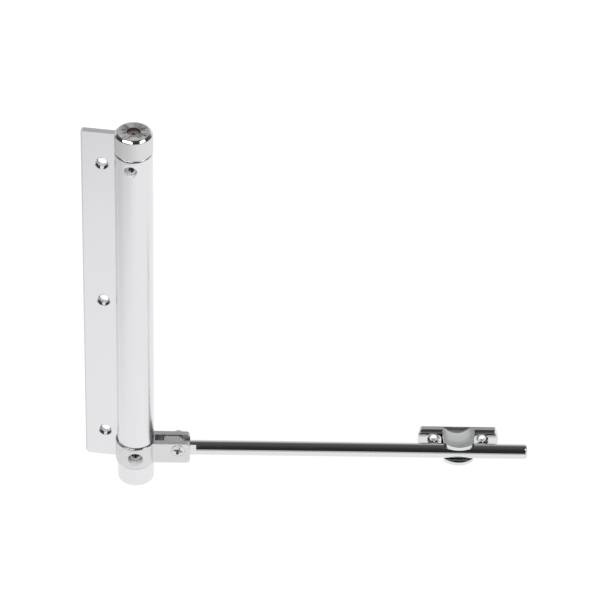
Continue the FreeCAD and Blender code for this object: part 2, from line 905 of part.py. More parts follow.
def make_guide():
    """Base plate with bowed ends and two lugs; the rod runs in the open slot between the lugs."""
    bow = "guide_long / 2 - guide_end_round"
    half_high = "guide_high / 2"
    ends = [
        cylinder(
            "bow_" + side,
            "guide_end_round",
            "guide_thick",
            "guide_at " + sign + " (" + bow + ")",
            "guide_behind",
            "0",
            "back",
        )
        for side, sign in (("left", "-"), ("right", "+"))
    ]
    middle = box(
        "plate_middle",
        "2 * (" + bow + ")",
        "guide_thick",
        "guide_high",
        "guide_at - (" + bow + ")",
        "guide_behind",
        "0 - " + half_high,
    )
    frame = box(
        "plate_frame",
        "guide_long",
        "guide_thick",
        "guide_high",
        "guide_at - guide_long / 2",
        "guide_behind",
        "0 - " + half_high,
    )
    base = body_from("guide_base", common("guide_plate", [frame, fuse("bowed", ends + [middle])]))
    front = number("guide_behind")
    dress(
        base,
        "Chamfer",
        "guide_bevel",
        lambda e: all(near(v.Y, front) for v in e.Vertexes)
        and near(e.valueAt((e.FirstParameter + e.LastParameter) / 2).y, front),
    )
    lugs = []
    for name, low in (("upper_lug", "slot_high / 2"), ("lower_lug", "0 - " + half_high)):
        wedge = padded(
            name + "_wedge",
            "XY_Plane",
            [
                ("guide_at - lug_front / 2", "0 - lug_reach"),
                ("guide_at + lug_front / 2", "0 - lug_reach"),
                ("guide_at + lug_root / 2", "guide_behind + guide_bevel"),
                ("guide_at - lug_root / 2", "guide_behind + guide_bevel"),
            ],
            "lug_thick",
            low,
        )
        nose = cylinder(
            name + "_nose", "lug_round", "lug_thick", "guide_at", "lug_round - lug_reach", low
        )
        lugs.append(common(name, [wedge, nose]))
    cutters = [
        cylinder(
            "pin_bore",
            "pin_dia / 2 + seat_gap",
            "guide_high + slot_high / 2 + pin_seat",
            "guide_at",
            "roller_behind",
            "0 - guide_high",
        ),
        box(
            "roller_relief",
            "roller_dia + 2 * safe_gap",
            "roller_behind + roller_dia / 2 + roller_clear - guide_behind",
            "slot_high",
            "guide_at - roller_dia / 2 - safe_gap",
            "guide_behind",
            "0 - slot_high / 2",
        ),
    ]
    for side, sign in (("left", "-"), ("right", "+")):
        cutters += screw_cutters(
            "guide_" + side,
            "guide_hole",
            "guide_sink",
            "guide_sink_deep",
            "guide_at " + sign + " guide_pitch / 2",
            "guide_behind",
            "0",
            "guide_thick",
        )
    bracket = cut("guide_bracket", fuse("guide_form", [base] + lugs), cutters)
    on_arm(bracket, "guide_bracket")

    wheel = tube("wheel", "roller_dia / 2", "pin_dia / 2 + run_gap", "roller_high")
    move(wheel, "guide_at", "roller_behind", "0 - roller_high / 2")
    on_arm(fuse_one("guide_roller", wheel), "guide_roller")
    pin = cylinder(
        "pin",
        "pin_dia / 2",
        "(guide_high + slot_high) / 2 + pin_seat - 2 * pin_short",
        "guide_at",
        "roller_behind",
        "pin_short - guide_high / 2",
    )
    on_arm(fuse_one("roller_pin", pin), "roller_pin")


def write_parts():
    """Check every piece and write it as a STEP file."""
    sheet.clear(TRIAL_CELL)
    doc.recompute()
    for item in doc.Objects:
        if "Invalid" in item.State or "Error" in item.State:
            raise RuntimeError("%s is %s" % (item.Name, item.State))
    os.makedirs("parts", exist_ok=True)
    for label, item in nodes.items():
        shape = item.Shape
        if shape.isNull() or not shape.isValid() or len(shape.Solids) != 1:
            raise RuntimeError("%s has no single sound solid" % label)
        shape.exportStep("parts/%s.step" % label)
        print("%-20s %9.1f mm3" % (label, shape.Volume), [round(c, 2) for c in bounds(shape)])


def bounds(shape):
    size = shape.BoundBox
    return size.XMin, size.XMax, size.YMin, size.YMax, size.ZMin, size.ZMax


fill_sheet()
make_housing()
make_bushes()
make_set_screws()
make_spring()
make_adjuster()
make_lever()
make_pivot()
make_rod()
make_guide()
write_parts()
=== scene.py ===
"""Spring door closer: finishes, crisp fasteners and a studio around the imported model."""

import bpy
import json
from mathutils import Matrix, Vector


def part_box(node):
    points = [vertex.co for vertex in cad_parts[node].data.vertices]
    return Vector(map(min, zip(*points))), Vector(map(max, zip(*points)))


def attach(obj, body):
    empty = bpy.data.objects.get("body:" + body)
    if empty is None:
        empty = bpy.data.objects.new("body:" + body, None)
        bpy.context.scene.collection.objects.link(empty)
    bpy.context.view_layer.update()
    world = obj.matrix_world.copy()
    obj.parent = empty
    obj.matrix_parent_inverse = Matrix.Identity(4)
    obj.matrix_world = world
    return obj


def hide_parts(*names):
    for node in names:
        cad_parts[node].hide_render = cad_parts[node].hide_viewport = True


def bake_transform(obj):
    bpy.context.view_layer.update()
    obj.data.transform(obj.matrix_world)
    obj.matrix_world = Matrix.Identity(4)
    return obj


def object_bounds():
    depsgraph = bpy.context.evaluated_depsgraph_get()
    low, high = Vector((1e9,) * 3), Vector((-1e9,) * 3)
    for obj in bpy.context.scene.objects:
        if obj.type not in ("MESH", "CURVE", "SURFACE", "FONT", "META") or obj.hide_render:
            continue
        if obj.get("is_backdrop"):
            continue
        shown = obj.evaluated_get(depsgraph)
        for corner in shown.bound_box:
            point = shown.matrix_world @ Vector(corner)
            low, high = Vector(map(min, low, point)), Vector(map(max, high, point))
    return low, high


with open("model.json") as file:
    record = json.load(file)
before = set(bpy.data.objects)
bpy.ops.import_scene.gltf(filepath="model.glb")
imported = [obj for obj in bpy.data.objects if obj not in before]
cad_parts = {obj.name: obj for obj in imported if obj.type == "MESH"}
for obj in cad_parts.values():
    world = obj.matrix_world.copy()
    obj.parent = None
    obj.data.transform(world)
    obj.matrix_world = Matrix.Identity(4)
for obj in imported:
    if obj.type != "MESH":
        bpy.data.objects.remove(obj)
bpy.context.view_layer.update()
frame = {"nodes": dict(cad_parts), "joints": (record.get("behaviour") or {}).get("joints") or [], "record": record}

import json
import math

import bmesh
import bpy
from bpy.props import FloatProperty, FloatVectorProperty, PointerProperty
from mathutils import Matrix, Vector

bl_info = {
    "name": "Spring door closer",
    "version": (1, 0, 0),
    "blender": (4, 5, 0),
    "location": "View3D > Sidebar > Closer",
    "description": "Finishes the packed spring door closer and sets up its studio",
    "category": "Object",
}

MM = 0.001
NODE_BODY = {
    node: body
    for body, members in frame["record"]["behaviour"]["bodies"].items()
    for node in members
}
JOINTS = {joint["name"]: joint for joint in frame["joints"]}
ARM = Vector(JOINTS["guide_slide"]["axis"])
ACROSS = Vector(JOINTS["rod_pitch"]["axis"])
PIVOT = Vector(JOINTS["rod_pitch"]["pos_m"])
SWING = Vector(JOINTS["arm_swing"]["pos_m"])
TUBE_AXIS = (SWING.x, SWING.y, 0)
FRONT = Vector((0, -1, 0))
RIGHT = Vector((1, 0, 0))
UP = Vector((0, 0, 1))
LOCK = sum(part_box("tension_lock_screw"), Vector()) / 2
GRUB = sum(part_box("collar_set_screw"), Vector()) / 2

# How close a point has to be to count as lying on a surface, strictly and loosely.
NEAR = 0.01 * MM
LOOSE = 0.05 * MM
# How close two points have to be to become one, in packed forms and in new ones.
WELD = 0.001 * MM
FINE_WELD = 0.0001 * MM
# Edges that turn by more than these degrees are broken: on most forms, and on those with fine bevels.
SHARP = 28.0
CRISP = 50.0
# A face whose normal has this much of a direction faces that way.
FACING = 0.999


def tint(name, description, default):
    """A colour that a user would change."""
    return FloatVectorProperty(
        name=name, description=description, default=default, size=3, subtype="COLOR", min=0, max=1
    )


def share(name, description, default):
    """A number from 0 to 1 that a user would change."""
    return FloatProperty(
        name=name, description=description, default=default, min=0, max=1, subtype="FACTOR"
    )


def length(name, description, default):
    """A size that a user would change."""
    return FloatProperty(
        name=name, description=description, default=default, unit="LENGTH", subtype="DISTANCE"
    )


def turn(name, description, degrees):
    """An angle that a user would change."""
    return FloatProperty(
        name=name, description=description, default=math.radians(degrees), unit="ROTATION"
    )


class CloserFinishes(bpy.types.PropertyGroup):
    """Colours and gloss that a user would change."""

    aluminium: tint("Aluminium", "Anodised tube and flange", (0.78, 0.78, 0.80))
    aluminium_rough: share("Aluminium roughness", "Satin of the extrusion", 0.25)
    cap: tint("Cap", "Turned tension cap", (0.74, 0.74, 0.75))
    satin_chrome: tint("Satin chrome", "Lever collar", (0.72, 0.72, 0.73))
    satin_rough: share("Satin roughness", "Gloss of the lever collar", 0.36)
    chrome: tint("Chrome", "Push rod and guide", (0.725, 0.73, 0.735))
    chrome_rough: share("Chrome roughness", "Gloss of the rod and guide", 0.07)
    steel: tint("Steel", "Spindle, pin and clip", (0.50, 0.49, 0.47))
    screw_steel: tint("Screw steel", "Socket set screws", (0.66, 0.66, 0.67))
    plated: tint("Plating", "Pivot screw, nut and washers", (0.72, 0.72, 0.71))
    spring: tint("Spring wire", "Oiled torsion spring", (0.27, 0.27, 0.28))
    bronze: tint("Spindle end", "Brown end face of the adjuster", (0.52, 0.43, 0.39))
    thread: tint("Thread", "Dull walls of holes, and the upper bush", (0.74, 0.74, 0.75))
    # Painted shade on the lower walls of the flange's countersinks.
    painted_sink_shade: tint("Bare metal", "Lower walls of the countersinks", (0.25, 0.25, 0.26))
    shadow: tint("Sockets", "Dark hollow of the set screws' sockets", (0.05, 0.05, 0.052))
    # Painted shade in the dimple of the spindle's end, dark red.
    dimple_shade: tint("Dimple", "Dark red centre of the spindle's end", (0.12, 0.04, 0.035))
    # Painted shade on the wall of the cap's recess.
    recess: tint("Recess", "Dark wall of the cap's recess", (0.34, 0.32, 0.32))
    brass: tint("Brass", "Lower bush in the tube", (0.70, 0.55, 0.30))
    nylon: tint("Nylon", "Roller in the guide", (0.86, 0.85, 0.80))
    edge: length("Edge break", "Width of the broken edges on visible metal", 0.22 * MM)


class CloserStage(bpy.types.PropertyGroup):
    """Camera, floor and lamps."""

    azimuth: turn("Azimuth", "Camera's way round from the front", 7.3)
    elevation: turn("Elevation", "Camera's height above the horizon", 36.9)
    roll: turn("Roll", "Camera's lean", 1.53)
    distance: length("Distance", "Camera to the tube's axis", 1.94133)
    aim_right: length("Aim right", "Camera's offset to the right", 0.08775)
    aim_up: length("Aim up", "Camera's offset upward", 0.00900)
    lens: FloatProperty(name="Lens", description="Focal length in millimetres", default=218.59)
    floor_drop: length("Floor drop", "Floor below the closer", 0.30)
    lamp: FloatProperty(name="Lamp", description="Radiance of the softboxes", default=4.0)
    fill: FloatProperty(name="Fill", description="Radiance of the light on matte parts", default=3.2)


# Where the Mix node has its first input, its second input and its result.
MIX_SOCKETS = {"FLOAT": (2, 3, 0), "RGBA": (6, 7, 2)}


class Wiring:
    """Short calls for wiring a material's nodes."""

    def __init__(self, material):
        self.material = material
        self.tree = material.node_tree

    def add(self, kind, **settings):
        """A new shader node with its settings."""
        node = self.tree.nodes.new("ShaderNode" + kind)
        for key, setting in settings.items():
            setattr(node, key, setting)
        return node

    def join(self, start, finish):
        """Link an output to an input."""
        self.tree.links.new(start, finish)

    def math(self, operation, first, second=None):
        """The outcome of a math node on links or numbers."""
        node = self.add("Math", operation=operation)
        for plug, value in zip(node.inputs, (first, second)):
            if isinstance(value, (int, float)):
                plug.default_value = value
            elif value is not None:
                self.join(value, plug)
        return node.outputs[0]

    def span(self, value, low, high, start=0.3, end=0.7, **settings):
        """The value taken from start..end to low..high."""
        node = self.add("MapRange", clamp=True, **settings)
        node.inputs["From Min"].default_value = start
        node.inputs["From Max"].default_value = end
        node.inputs["To Min"].default_value = low
        node.inputs["To Max"].default_value = high
        self.join(value, node.inputs["Value"])
        return node.outputs["Result"]


class Finish(Wiring):
    """A material built around one Principled shader, read in Object coordinates."""

    def __init__(self, name, colour, metallic, roughness):
        material = bpy.data.materials.new(name)
        material.use_nodes = True
        super().__init__(material)
        self.shader = self.tree.nodes["Principled BSDF"]
        self.plug("Base Color").default_value = (*colour, 1)
        self.plug("Metallic").default_value = metallic
        self.plug("Roughness").default_value = roughness
        self.colour = colour
        self.relief = None
        self.coords = self.add("TexCoord").outputs["Object"]

    def plug(self, name):
        """An input of the shader."""
        return self.shader.inputs[name]

    def place(self, centre=(0, 0, 0), scale=(1, 1, 1)):
        """Object coordinates about a centre, stretched by a scale."""
        shift = self.add("VectorMath", operation="SUBTRACT")
        self.join(self.coords, shift.inputs[0])
        shift.inputs[1].default_value = centre
        stretch = self.add("VectorMath", operation="MULTIPLY")
        self.join(shift.outputs[0], stretch.inputs[0])
        stretch.inputs[1].default_value = scale
        return stretch.outputs[0]

    def noise(self, scale, detail):
        """Noise between 0 and 1, with its cells sized by a scale per axis."""
        node = self.add("TexNoise")
        node.inputs["Scale"].default_value = 1.0
        node.inputs["Detail"].default_value = detail
        self.join(self.place(scale=scale), node.inputs["Vector"])
        return node.outputs["Fac"]

    def shares(self, first, second, part):
        """A part of the first value and the rest of the second, added."""
        return self.math(
            "ADD", self.math("MULTIPLY", first, part), self.math("MULTIPLY", second, 1 - part)
        )

    def above(self, value, limit):
        """1 where the value is over a limit, and 0 elsewhere."""
        return self.math("GREATER_THAN", value, limit)

    def below(self, value, limit):
        """1 where the value is under a limit, and 0 elsewhere."""
        return self.math("LESS_THAN", value, limit)

    def both(self, first, second):
        """1 where two masks are 1."""
        return self.math("MULTIPLY", first, second)

    def either(self, first, second):
        """1 where one of two masks is 1."""
        return self.math("MAXIMUM", first, second)

    def radius(self, centre):
        """Distance from an upright axis."""
        node = self.add("VectorMath", operation="LENGTH")
        self.join(self.place(centre, (1, 1, 0)), node.inputs[0])
        return node.outputs["Value"]

    def height(self):
        """Height in the frame."""
        node = self.add("SeparateXYZ")
        self.join(self.coords, node.inputs[0])
        return node.outputs["Z"]

    def off_line(self, point, way):
        """Distance from a line, and distance along it."""
        spot = self.place(point)
        side = self.add("VectorMath", operation="CROSS_PRODUCT")
        self.join(spot, side.inputs[0])
        side.inputs[1].default_value = way
        size = self.add("VectorMath", operation="LENGTH")
        self.join(side.outputs[0], size.inputs[0])
        ahead = self.add("VectorMath", operation="DOT_PRODUCT")
        self.join(spot, ahead.inputs[0])
        ahead.inputs[1].default_value = way
        return size.outputs["Value"], ahead.outputs["Value"]

    def within(self, point, way, radius):
        """1 inside a round hole that runs from a point along a way, and 0 outside it."""
        off, ahead = self.off_line(point, way)
        return self.both(self.below(off, radius), self.above(ahead, 0.0))

    def mixed(self, mask, kind):
        """The first input, second input and result of a Mix node that a mask runs."""
        node = self.add("Mix", data_type=kind)
        self.join(mask, node.inputs[0])
        first, second, result = MIX_SOCKETS[kind]
        return node.inputs[first], node.inputs[second], node.outputs[result]

    def pass_on(self, plug, target):
        """Give what feeds one input, a link or a value, to another."""
        if plug.links:
            self.join(plug.links[0].from_socket, target)
        else:
            target.default_value = plug.default_value

    def rough_from(self, value):
        """Take the roughness from a value."""
        self.join(value, self.plug("Roughness"))

    def shade_from(self, value, dark, light):
        """Vary the colour between two shares of itself."""
        first, second, result = self.mixed(value, "RGBA")
        first.default_value = (*[min(1, dark * c) for c in self.colour], 1)
        second.default_value = (*[min(1, light * c) for c in self.colour], 1)
        self.join(result, self.plug("Base Color"))

    def bump(self, height, depth, strength):
        """Relief of a depth in metres, on top of any relief before it."""
        node = self.add("Bump")
        node.inputs["Strength"].default_value = strength
        node.inputs["Distance"].default_value = depth
        self.join(height, node.inputs["Height"])
        if self.relief is not None:
            self.join(self.relief, node.inputs["Normal"])
        self.relief = node.outputs["Normal"]
        self.join(self.relief, self.plug("Normal"))

    def gloss_where(self, mask, roughness, metallic=1.0):
        """Change the roughness and the share of metal where the mask is 1."""
        for name, level in (("Roughness", roughness), ("Metallic", metallic)):
            first, second, result = self.mixed(mask, "FLOAT")
            self.pass_on(self.plug(name), first)
            second.default_value = level
            self.join(result, self.plug(name))

    def colour_where(self, mask, colour):
        """Change the colour where the mask is 1."""
        first, second, result = self.mixed(mask, "RGBA")
        self.pass_on(self.plug("Base Color"), first)
        second.default_value = (*colour, 1)
        self.join(result, self.plug("Base Color"))

    def dull_where(self, mask, colour):
        """The dull look of a drilled or threaded wall where the mask is 1."""
        self.gloss_where(mask, 0.6, 0.2)
        self.colour_where(mask, colour)


def worn(name, colour, metallic, rough, cells, shades):
    """A finish with cloudy gloss between two roughnesses, faint smears and slight changes of shade."""
    low, high = rough
    finish = Finish(name, colour, metallic, (low + high) / 2)
    cloud = finish.noise((cells, cells, cells), 4.0)
    smear = finish.noise((60.0, 60.0, 25.0), 2.0)
    mottle = finish.shares(cloud, smear, 0.5)
    finish.rough_from(finish.span(mottle, low, high, 0.35, 0.65))
    finish.shade_from(finish.span(mottle, 0.0, 1.0), *shades)
    return finish


def aluminium(finishes, name):
    """Satin anodising with the faint drawing lines of an extrusion along the tube."""
    base = finishes.aluminium_rough
    unevenness = 0.04
    finish = Finish(name, finishes.aluminium, 1.0, base)
    lines = finish.noise((2600.0, 2600.0, 9.0), 2.0)
    grain = finish.noise((5200.0, 5200.0, 5200.0), 1.0)
    broad = finish.noise((90.0, 90.0, 14.0), 2.0)
    streaks = finish.shares(lines, broad, 0.6)
    finish.rough_from(finish.span(streaks, base - unevenness, base + unevenness))
    finish.shade_from(finish.span(streaks, 0.0, 1.0), 0.985, 1.01)
    finish.bump(lines, 0.002 * MM, 0.3)
    finish.bump(grain, 0.001 * MM, 0.3)
    return finish


def chrome(finishes, name, cells, depth):
    """Polished plating over metal with a slight ripple left by the polishing."""
    base = finishes.chrome_rough
    finish = worn(name, finishes.chrome, 1.0, (base - 0.025, base + 0.035), 260.0, (0.98, 1.01))
    finish.bump(finish.noise(cells, 1.0), depth, 0.6)
    return finish


def give(node, finish):
    """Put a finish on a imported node's own object."""
    owner = frame["nodes"][node]
    owner.data.materials.clear()
    owner.data.materials.append(finish.material)


def settle(piece, node):
    """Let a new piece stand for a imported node."""
    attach(piece, NODE_BODY[node])
    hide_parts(node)


def made_object(bm, name, material=None):
    """A new object in the scene from a finished bmesh."""
    mesh = bpy.data.meshes.new(name)
    bm.to_mesh(mesh)
    bm.free()
    if material:
        mesh.materials.append(material)
    item = bpy.data.objects.new(name, mesh)
    bpy.context.scene.collection.objects.link(item)
    return item


def shade(piece, degrees=35.0):
    """Smooth faces that meet at less than an angle, and keep flat faces flat."""
    mesh = piece.data
    mesh.polygons.foreach_set("use_smooth", [True] * len(mesh.polygons))
    mesh.set_sharp_from_angle(angle=math.radians(degrees))
    weighted = piece.modifiers.new("even_normals", "WEIGHTED_NORMAL")
    weighted.keep_sharp = True
    weighted.weight = 80


def merged_copy(node):
    """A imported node's mesh again, with its loose triangles joined."""
    bm = bmesh.new()
    bm.from_mesh(frame["nodes"][node].data)
    bmesh.ops.remove_doubles(bm, verts=bm.verts, dist=WELD)
    return bm


def softened(node, finish, width, segments=2, sharp=SHARP, before=None, after=None):
    """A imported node's form with its sharp edges broken, and reshaped before or after that at will."""
    bm = merged_copy(node)
    bmesh.ops.dissolve_limit(
        bm, angle_limit=math.radians(0.2), verts=bm.verts, edges=bm.edges, delimit=set()
    )
    if before:
        before(bm)
        bm.normal_update()
    limit = math.radians(sharp)
    edges = [e for e in bm.edges if e.is_manifold and e.calc_face_angle(0) > limit]
    bmesh.ops.bevel(
        bm,
        geom=edges,
        offset=width,
        offset_type="OFFSET",
        affect="EDGES",
        segments=segments,
        profile=0.5,
        clamp_overlap=True,
        material=-1,
    )
    if after:
        after(bm)
    bm.normal_update()
    piece = made_object(bm, node + "_form", finish.material)
    shade(piece)
    settle(piece, node)


def lathe(profile, steps=72, closed=False):
    """A turned form about its own Z axis, from an outline of radius and height in metres."""
    bm = bmesh.new()
    spots = [bm.verts.new((r, 0, z)) for r, z in profile]
    pairs = list(zip(spots, spots[1:]))
    if closed:
        pairs.append((spots[-1], spots[0]))
    edges = [bm.edges.new(pair) for pair in pairs]
    bmesh.ops.spin(
        bm, geom=spots + edges, cent=(0, 0, 0), axis=UP, angle=2 * math.pi, steps=steps,
        use_merge=True,
    )
    bmesh.ops.remove_doubles(bm, verts=bm.verts, dist=FINE_WELD)
    bmesh.ops.recalc_face_normals(bm, faces=bm.faces)
    return bm


def carved(bm, tools, operation):
    """A form cut by, or kept within, other forms."""
    blank = made_object(bm, "blank")
    helpers = [made_object(tool, "tool") for tool in tools]
    for helper in helpers:
        step = blank.modifiers.new("carve", "BOOLEAN")
        step.operation = operation
        step.solver = "EXACT"
        step.object = helper
    context = bpy.context
    context.view_layer.update()
    mesh = bpy.data.meshes.new_from_object(blank.evaluated_get(context.evaluated_depsgraph_get()))
    result = bmesh.new()
    result.from_mesh(mesh)
    bpy.data.meshes.remove(mesh)
    for item in [blank, *helpers]:
        spent = item.data
        bpy.data.objects.remove(item)
        bpy.data.meshes.remove(spent)
    bmesh.ops.remove_doubles(result, verts=result.verts, dist=FINE_WELD)
    bmesh.ops.recalc_face_normals(result, faces=result.faces)
    return result


def along_pivot(offset):
    """Stand a turned form on the pivot's axis, heading to the back, at an offset from the rod."""
    pose = Matrix((ARM, ACROSS.cross(ARM), ACROSS)).transposed().to_4x4()
    return Matrix.Translation(PIVOT + ACROSS * offset) @ pose


def cross_blades(width):
    """The two tapered blades that cut a cross recess, leaning a little as a tightened screw does."""
    above = 0.3 * MM
    deep = 2.0 * MM
    tip = 1.2 * MM
    thick_mouth = 1.7 * MM
    thick_tip = 0.8 * MM
    lean = math.radians(12)
    blades = []
    for quarter in (0, 1):
        blade = bmesh.new()
        corners = []
        for z, span, thick in ((-above, width * 1.1, thick_mouth), (deep, tip, thick_tip)):
            for x, y in ((-span, -thick), (span, -thick), (span, thick), (-span, thick)):
                corners.append(blade.verts.new((x / 2, y / 2, z)))
        bmesh.ops.convex_hull(blade, input=corners)
        spun = Matrix.Rotation(math.pi / 2 * quarter + lean, 3, "Z")
        bmesh.ops.rotate(blade, verts=blade.verts, matrix=spun)
        blades.append(blade)
    return blades


def countersunk_screw(head_radius, rise, shank_radius, total, recess):
    """A slightly domed countersunk head with a cross recess, over a shank that ends in a small bevel."""
    rim = 0.4 * MM
    end_bevel = 0.3 * MM
    dome_steps = 16
    fall = 0.9
    inner = head_radius - rim
    outline = [
        (inner * i / dome_steps, rise * (i / dome_steps) ** 2 * fall) for i in range(dome_steps + 1)
    ]
    outline += [
        (head_radius, rise + rim * fall),
        (shank_radius, rise + head_radius - shank_radius),
        (shank_radius, total - end_bevel),
        (shank_radius - end_bevel, total),
        (0, total),
    ]
    return carved(lathe(outline), cross_blades(recess), "DIFFERENCE")


def hexagon_nut(across_flats, thick, bore):
    """A hexagon nut with both faces bevelled at its corners."""
    bore_bevel = 0.25 * MM
    corner = across_flats / 2 / math.cos(math.radians(30))
    outer = corner * 1.02
    face = across_flats / 2 * 0.97
    slope = (outer - face) * math.tan(math.radians(30))
    hexagon = bmesh.new()
    bmesh.ops.create_cone(
        hexagon, cap_ends=True, segments=6, radius1=corner, radius2=corner, depth=thick
    )
    bmesh.ops.translate(hexagon, verts=hexagon.verts, vec=(0, 0, thick / 2))
    outline = [
        (bore + bore_bevel, 0),
        (face, 0),
        (outer, slope),
        (outer, thick - slope),
        (face, thick),
        (bore + bore_bevel, thick),
        (bore, thick - bore_bevel),
        (bore, bore_bevel),
    ]
    return carved(hexagon, [lathe(outline, closed=True)], "INTERSECT")


def smooth(value):
    """A soft step from 0 to 1."""
    value = min(1.0, max(0.0, value))
    return value * value * (3 - 2 * value)


class CLOSER_OT_housing(bpy.types.Operator):
    """Finish the tube with its screw flange"""

    bl_idname = "closer.housing"
    bl_label = "Housing"

    # The lock screw's window in the tube.
    window = 6.9 * MM
    # The flange's holes: their pitch, countersinks and bores, the light gap at the bottom of each
    # countersink, and how far below the middle the painted shade on its lower wall starts.
    hole_pitch = 89.0 * MM
    sink = 7.6 * MM
    bore = 5.1 * MM
    gap = 1.7 * MM
    lobe = 0.9 * MM
    # The tube, the bevel of its mouth with its slope, and half of the web behind it.
    tube = 20.0 * MM
    mouth = 1.5 * MM
    steep = 1.73
    web = 6.0 * MM
    # The flange's upper corner as packed and as tightened, and the round of the flange's edge.
    corner = 3.0 * MM
    square = 1.2 * MM
    edge_round = 1.5 * MM

    def reshape(self, bm):
        """Give the tube's mouth and the flange's upper corner their finer forms."""
        low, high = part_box("housing")
        self.steepen(bm, high.z)
        self.tighten(bm, low.x)

    def steepen(self, bm, top):
        """Straighten the round of the tube's mouth to a steep bevel."""
        radius = self.tube / 2
        for vert in bm.verts:
            off = vert.co - SWING
            reach = math.hypot(off.x, off.y)
            on_web = off.y > 0 and abs(off.x) < self.web + NEAR
            on_mouth = radius - self.mouth - NEAR < reach <= radius + NEAR
            if on_mouth and not on_web and vert.co.z >= top - self.mouth - NEAR:
                vert.co.z = min(top, top - self.mouth + (radius - reach) * self.steep)

    def tighten(self, bm, left):
        """Move the points of the flange's upper corner out to a smaller round."""
        plate = [v for v in bm.verts if v.co.x < left + self.corner]
        head = max(v.co.z for v in plate)
        front = min(v.co.y for v in plate)
        inner = self.corner - self.square
        for vert in plate:
            way = Vector((left + self.corner - vert.co.x, vert.co.z - head + self.corner))
            if way.y <= 0 or abs(way.length - self.corner) > LOOSE:
                continue
            way.normalize()
            reach = self.corner / max(way)
            if min(way) * reach > inner:
                along = inner * (way.x + way.y)
                reach = along + math.sqrt(along * along - 2 * inner * inner + self.square * self.square)
            vert.co.x = left + self.corner - way.x * reach
            vert.co.z = head - self.corner + way.y * reach
            over = max(0.0, self.edge_round - (vert.co.x - left))
            round_off = self.edge_round - math.sqrt(max(0.0, self.edge_round**2 - over * over))
            vert.co.y = max(vert.co.y, front + round_off)

    def dress_holes(self, finish, finishes):
        """Polish the countersinks, paint shade on their lower walls and dull the bores and the light gaps."""
        sinks = painted_shade_lobes = bores = 0.0
        for row in (1, 0, -1):
            centre = Vector((0, 0, row * self.hole_pitch))
            sink = finish.within(centre, FRONT, self.sink / 2)
            low = finish.below(finish.height(), centre.z - self.lobe)
            _, aside = finish.off_line(centre, RIGHT)
            middle = finish.below(finish.math("ABSOLUTE", aside), self.gap / 2)
            bore = finish.within(centre, FRONT, self.bore / 2)
            sinks = finish.either(sinks, sink)
            painted_shade_lobes = finish.either(painted_shade_lobes, finish.both(sink, low))
            bores = finish.either(bores, finish.either(bore, finish.both(sink, middle)))
        finish.gloss_where(sinks, 0.12)
        # Painted shade: the lower walls of the countersinks are coloured dark.
        finish.colour_where(painted_shade_lobes, finishes.painted_sink_shade)
        finish.dull_where(bores, finishes.thread)

    def execute(self, context):
        finishes = context.scene.closer_finishes
        finish = aluminium(finishes, "anodised_aluminium")
        finish.dull_where(finish.within(LOCK, FRONT, self.window / 2), finishes.thread)
        self.dress_holes(finish, finishes)
        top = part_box("housing")[1].z
        high = finish.above(finish.height(), top - self.mouth - NEAR)
        on_tube = finish.below(finish.radius(TUBE_AXIS), self.tube / 2 + LOOSE)
        finish.gloss_where(finish.both(high, on_tube), 0.2)
        softened("housing", finish, finishes.edge, sharp=CRISP, before=self.reshape)
        return {"FINISHED"}


